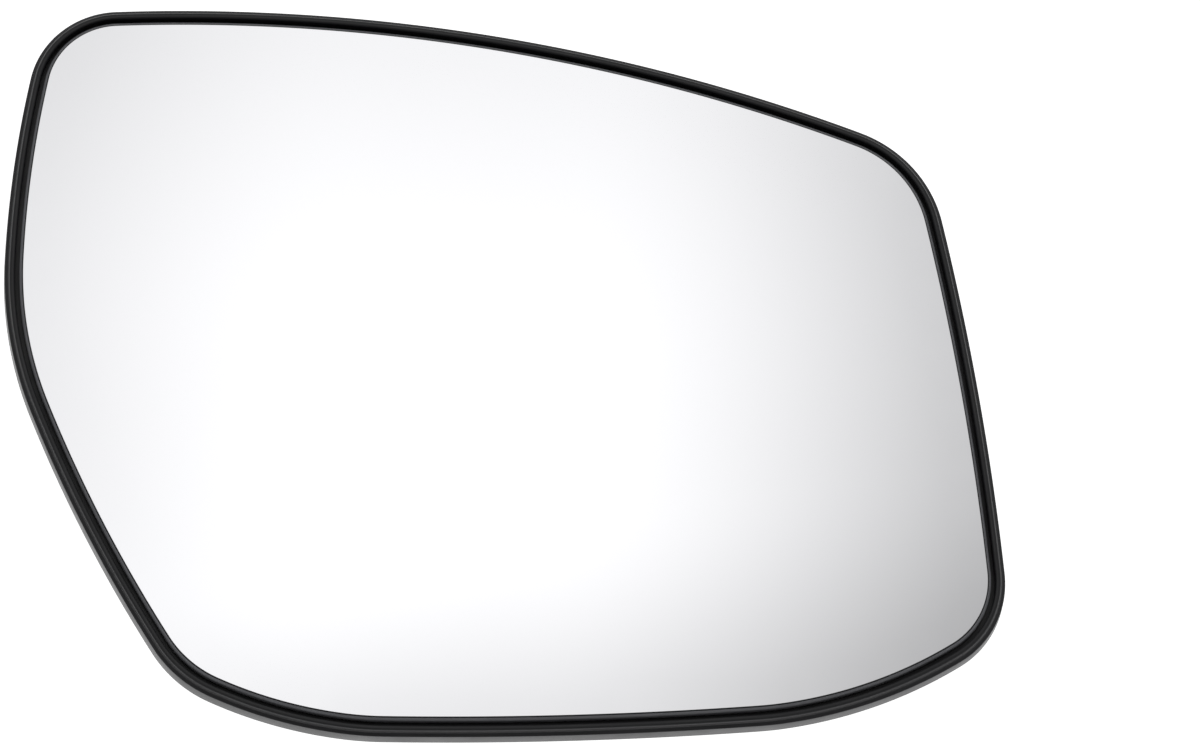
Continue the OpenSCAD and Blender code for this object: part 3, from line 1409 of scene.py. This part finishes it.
@dataclass
class Studio:
    """A pale floor, a soft light overhead and the camera of the photograph."""

    floor_z: float = -2.15
    floor_size: float = 12000.0
    floor_glow: float = 1.0
    floor_cloud: float = 30.0
    panel_distance: float = 1400.0
    panel_size: float = 1100.0
    panel_fade: float = 90.0
    panel_elevation: float = 72.0
    panel_bearing: float = 86.5
    panel_glow: float = 1.18
    panel_falls: tuple[Fall, ...] = (
        Fall(180.0, 80.0, 560.0, 0.66),
        Fall(0.0, 60.0, 460.0, 0.34),
        Fall(-90.0, 0.0, 400.0, 0.2),
        Fall(104.0, 120.0, 340.0, 0.33),
        Fall(180.0, 430.0, 548.0, 0.2),
        Fall(0.0, 320.0, 548.0, 0.59),
        Fall(-90.0, 280.0, 548.0, 0.6),
        Fall(90.0, 300.0, 548.0, 0.52),
    )
    wall_size: tuple[float, float] = (3000.0, 2300.0)
    wall_place: tuple[float, float, float] = (0.0, -1400.0, 60.0)
    wall_fade: float = 700.0
    wall_glow: tuple[float, float] = (0.45, 0.1)
    wall_rise: float = 1300.0
    room_glow: float = 0.32
    camera_distance: float = 2000.0
    tilt: float = 18.0
    swing: float = 3.5
    scale: float = 0.188
    origin_px: tuple[float, float] = (496.0, 370.0)
    image_px: tuple[float, float] = (1200.0, 754.0)
    aim_z: float = 11.9
    sensor: float = 36.0

    def floor(self) -> None:
        """Lays the floor, which lets the eye through from below."""
        material, tree = blank_material("studio_floor")
        place = add_node(tree, "ShaderNodeTexCoord").outputs["Object"]
        inputs = {"Vector": place, "Scale": per_metre(self.floor_cloud)}
        clouds = add_node(tree, "ShaderNodeTexNoise", inputs).outputs["Fac"]
        inputs = {"Factor": clouds, MIX_A: linear("#f6f6f6"), MIX_B: linear("#fafafa")}
        shade = add_node(tree, "ShaderNodeMix", inputs, data_type="RGBA").outputs[MIX_COLOUR]
        inputs = {
            "Base Color": shade,
            "Roughness": 0.9,
            "Specular IOR Level": 0.1,
            "Emission Color": linear(WHITE),
            "Emission Strength": self.floor_glow,
        }
        paper = add_node(tree, "ShaderNodeBsdfPrincipled", inputs).outputs["BSDF"]
        below = add_node(tree, "ShaderNodeNewGeometry").outputs["Backfacing"]
        end_clear(tree, paper, below)
        half = self.floor_size / 2
        corners = [(-half, -half), (half, -half), (half, half), (-half, half)]
        place = Matrix.Translation(Vector((0.0, 0.0, self.floor_z)) * MM)
        stage_board("studio_floor", corners, material, place, seen=True)

    def panel(self) -> None:
        """Hangs the soft light that the mirror reflects, which fades to its edges."""
        material, tree = blank_material("soft_light_panel")
        skin = add_node(tree, "ShaderNodeUVMap", uv_map="skin").outputs["UV"]
        strength: object = self.panel_glow
        for fall in self.panel_falls:
            side = math.radians(fall.side)
            inputs = {0: skin, 1: (math.cos(side), math.sin(side), 0.0)}
            across = add_node(tree, "ShaderNodeVectorMath", inputs, operation="DOT_PRODUCT")
            inputs = {
                "Value": across.outputs["Value"],
                "From Min": fall.start * MM,
                "From Max": fall.end * MM,
                "To Min": 1.0,
                "To Max": 1.0 - fall.loss,
            }
            kept = add_node(tree, "ShaderNodeMapRange", inputs, interpolation_type=SOFT)
            inputs = {0: kept.outputs["Result"], 1: strength}
            product = add_node(tree, "ShaderNodeMath", inputs, operation="MULTIPLY")
            strength = product.outputs[0]
        inputs = {"Color": linear(WHITE), "Strength": strength}
        glow = add_node(tree, "ShaderNodeEmission", inputs).outputs["Emission"]
        half = self.panel_size / 2
        end_clear(tree, glow, near_edge(tree, skin, (half, half), self.panel_fade))
        corners = [(-half, -half), (-half, half), (half, half), (half, -half)]
        elevation = math.radians(self.panel_elevation)
        around = math.radians(self.panel_bearing)
        away = Vector(
            (
                math.cos(around) * math.cos(elevation),
                math.sin(around) * math.cos(elevation),
                math.sin(elevation),
            )
        )
        turn = away.to_track_quat("Z", "Y").to_matrix().to_4x4()
        place = Matrix.Translation(away * self.panel_distance * MM) @ turn
        stage_board("soft_light_panel", corners, material, place, seen=False)

    def wall(self) -> None:
        """Stands a dim wall behind the camera, which keeps the step of the plate dark."""
        material, tree = blank_material("dim_wall")
        skin = add_node(tree, "ShaderNodeUVMap", uv_map="skin").outputs["UV"]
        inputs = {
            "Value": add_node(tree, "ShaderNodeSeparateXYZ", {0: skin}).outputs["Y"],
            "From Max": self.wall_rise * MM,
            "To Min": self.wall_glow[0],
            "To Max": self.wall_glow[1],
        }
        glow = add_node(tree, "ShaderNodeMapRange", inputs, interpolation_type=SOFT)
        inputs = {
            "Base Color": linear("#1a1a1b"),
            "Roughness": 1.0,
            "Specular IOR Level": 0.0,
            "Emission Color": linear(WHITE),
            "Emission Strength": glow.outputs["Result"],
        }
        cloth = add_node(tree, "ShaderNodeBsdfPrincipled", inputs).outputs["BSDF"]
        half, top = self.wall_size[0] / 2, self.wall_size[1]
        end_clear(tree, cloth, near_edge(tree, skin, (half, top), self.wall_fade))
        corners = [(-half, top), (half, top), (half, 0.0), (-half, 0.0)]
        upright = Matrix.Rotation(math.pi / 2, 4, "X")
        place = Matrix.Translation(Vector(self.wall_place) * MM) @ upright
        stage_board("dim_wall", corners, material, place, seen=False)

    def world(self) -> None:
        """Fills the room with even pale light."""
        world = bpy.data.worlds.new("studio_room")
        world.use_nodes = True
        tree = world.node_tree
        tree.nodes.clear()
        inputs = {"Color": linear(WHITE), "Strength": self.room_glow}
        sky = add_node(tree, "ShaderNodeBackground", inputs).outputs["Background"]
        add_node(tree, "ShaderNodeOutputWorld", {"Surface": sky})
        bpy.context.scene.world = world
        bpy.context.scene.view_settings.view_transform = "Standard"

    def camera(self) -> None:
        """Sets the camera where the photograph's stood."""
        tilt, swing = math.radians(self.tilt), math.radians(self.swing)
        back = Vector(
            (
                -math.sin(swing) * math.cos(tilt),
                -math.sin(tilt),
                math.cos(swing) * math.cos(tilt),
            )
        ).normalized()
        up = (Vector((0, 1, 0)) - back * back.y).normalized()
        right = up.cross(back)
        across = (self.origin_px[0] - self.image_px[0] / 2) * self.scale
        above = -(self.origin_px[1] - self.image_px[1] / 2) * self.scale
        place = (
            Vector((0, 0, self.aim_z))
            + back * self.camera_distance
            - right * across
            - up * above
        ) * MM
        data = bpy.data.cameras.new("camera")
        data.sensor_width = self.sensor
        width = self.scale * self.image_px[0]
        data.lens = self.sensor * self.camera_distance / width
        data.clip_start, data.clip_end = 0.1, 50.0
        camera = linked("camera", data)
        camera.matrix_world = Matrix(
            (
                (right.x, up.x, back.x, place.x),
                (right.y, up.y, back.y, place.y),
                (right.z, up.z, back.z, place.z),
                (0, 0, 0, 1),
            )
        )
        bpy.context.scene.camera = camera

    def build(self) -> None:
        """Builds the whole studio."""
        self.camera()
        self.floor()
        self.panel()
        self.wall()
        self.world()


def near_edge(
    tree: bpy.types.NodeTree, skin: Socket, ends: tuple[float, float], fade: float
) -> Socket:
    """Adds a share that rises from 0 to 1 towards the edges of a board.

    Args:
        tree: Tree of the board's material.
        skin: Place on the board.
        ends: Places of its edges across and up, in millimetres.
        fade: Width of the strip where the share rises.

    Returns:
        Socket with the share.
    """
    axes = add_node(tree, "ShaderNodeSeparateXYZ", {0: skin})
    shares = {}
    for axis, end in enumerate(ends):
        inputs = {0: axes.outputs[axis]}
        out = add_node(tree, "ShaderNodeMath", inputs, operation="ABSOLUTE").outputs[0]
        inputs = {"Value": out, "From Min": (end - fade) * MM, "From Max": end * MM}
        rise = add_node(tree, "ShaderNodeMapRange", inputs, interpolation_type=SOFT)
        shares[axis] = rise.outputs["Result"]
    return add_node(tree, "ShaderNodeMath", shares, operation="MAXIMUM").outputs[0]


def end_clear(tree: bpy.types.NodeTree, surface: Socket, share: Socket) -> None:
    """Ends a material that turns clear by a share from 0 to 1.

    Args:
        tree: Tree of the material.
        surface: Its surface.
        share: How clear it is at each place.
    """
    through = add_node(tree, "ShaderNodeBsdfTransparent").outputs["BSDF"]
    mixed = add_node(tree, "ShaderNodeMixShader", {"Fac": share, 1: surface, 2: through})
    add_node(tree, "ShaderNodeOutputMaterial", {"Surface": mixed.outputs["Shader"]})


def stage_board(
    name: str,
    corners: Sequence[tuple[float, float]],
    material: bpy.types.Material,
    place: Matrix,
    seen: bool,
) -> None:
    """Sets a flat board in the studio.

    Args:
        name: Name of the board.
        corners: Its corners in millimetres, counter-clockwise from its front.
        material: Its material.
        place: Turn and place of the board, in metres.
        seen: Whether the camera sees it.
    """
    skin = Skin()
    skin.add_points(np.array(corners), 0.0)
    skin.add_face(range(len(corners)))
    mesh = skin.mesh(name)
    mesh.transform(place)
    mesh.materials.append(material)
    board = linked(name, mesh)
    board.visible_camera = seen


def main() -> None:
    """Builds the pieces in order and reports each."""
    logging.basicConfig(level=logging.INFO, format="%(name)s: %(message)s")
    outline, dome = Outline(), Dome()
    Studio().build()
    for piece in (
        BackingPlate(outline, dome).build(),
        FoamSheet().build(),
        MirrorPane(outline, dome).build(),
    ):
        LOG.info("%s: %d faces", piece.name, len(piece.data.polygons))


if __name__ == "__main__":
    main()
